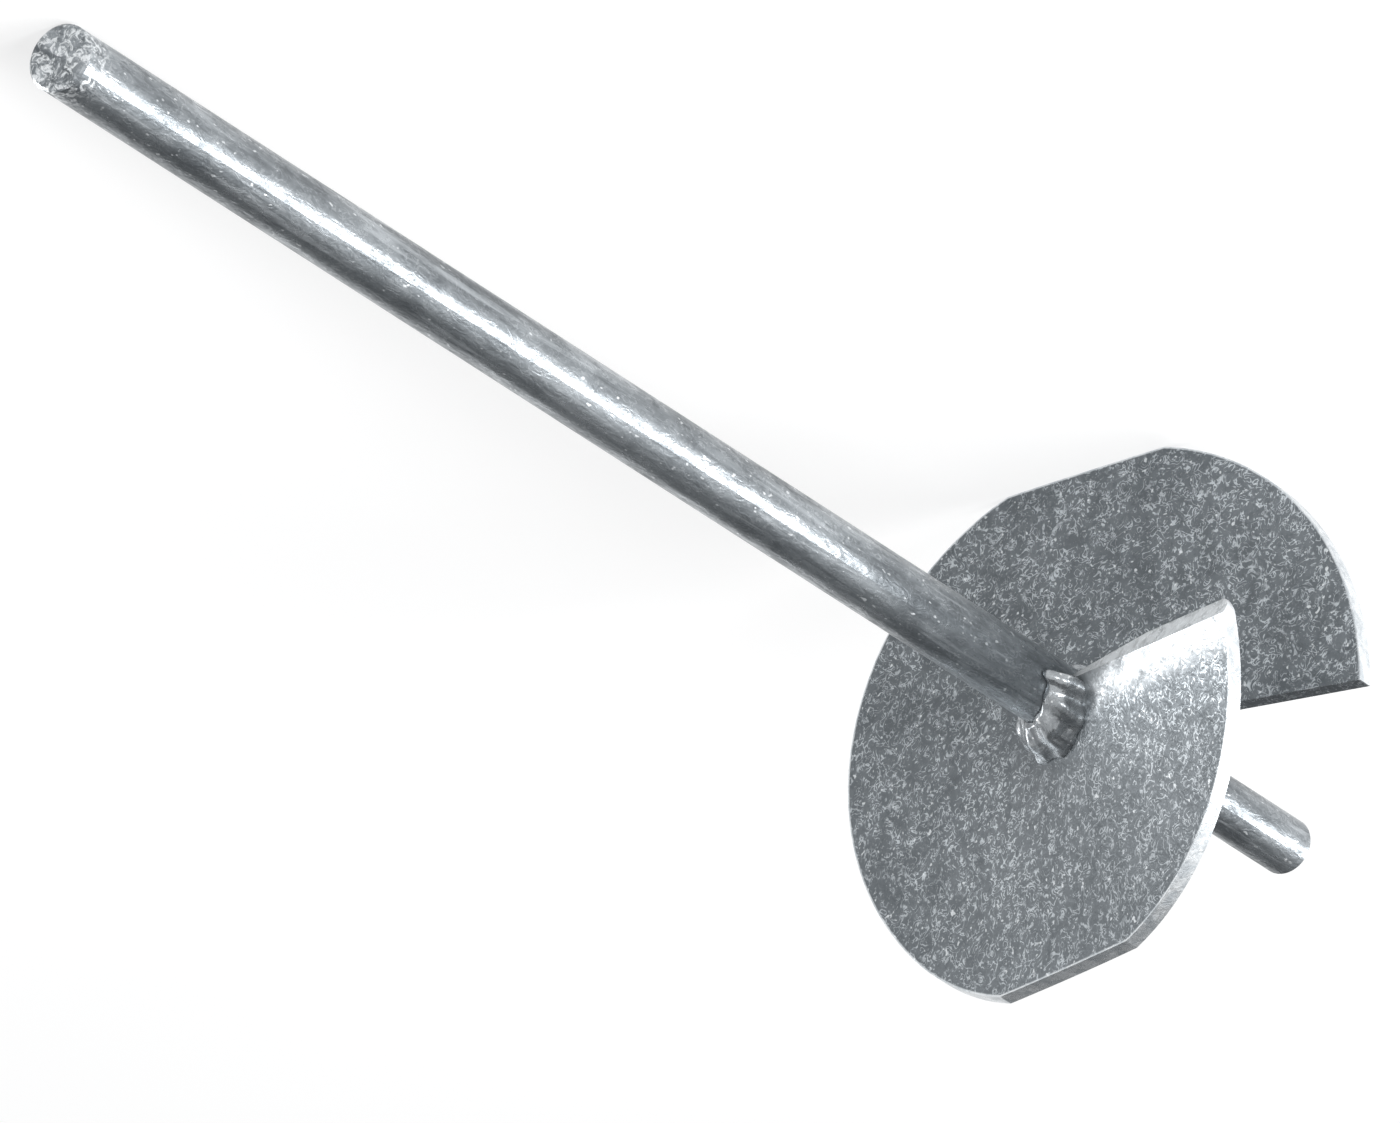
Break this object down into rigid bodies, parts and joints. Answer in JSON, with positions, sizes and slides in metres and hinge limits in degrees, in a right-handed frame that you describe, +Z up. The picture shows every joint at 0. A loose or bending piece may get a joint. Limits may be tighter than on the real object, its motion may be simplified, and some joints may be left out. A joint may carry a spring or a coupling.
{
  "type": "screw earth anchor",
  "caption": "Galvanised steel screw anchor: a round bar with a one-turn helical plate welded near its lower end, turned into the ground to hold a stay or an earth connection.",
  "frame": {"origin": "on the floor under the middle of the anchor, which lies at rest", "axes": "+X along the bar towards its top end, the bar's axis rising about 7.5 degrees towards the plate at -X; +Z up from the floor"},
  "size_m": [0.9452, 0.252, 0.2365],
  "materials": {
    "galvanised_bar": "hot-dip galvanised, mottled satin",
    "galvanised_plate": "hot-dip galvanised, fine spangle, semi-matt",
    "galvanised_weld": "hot-dip galvanised weld bead, lumpy satin"
  },
  "bodies": {
    "root": {"shaft": "galvanised_bar", "helix_plate": "galvanised_plate", "upper_weld": "galvanised_weld", "lower_weld": "galvanised_weld"}
  },
  "joints": []
}
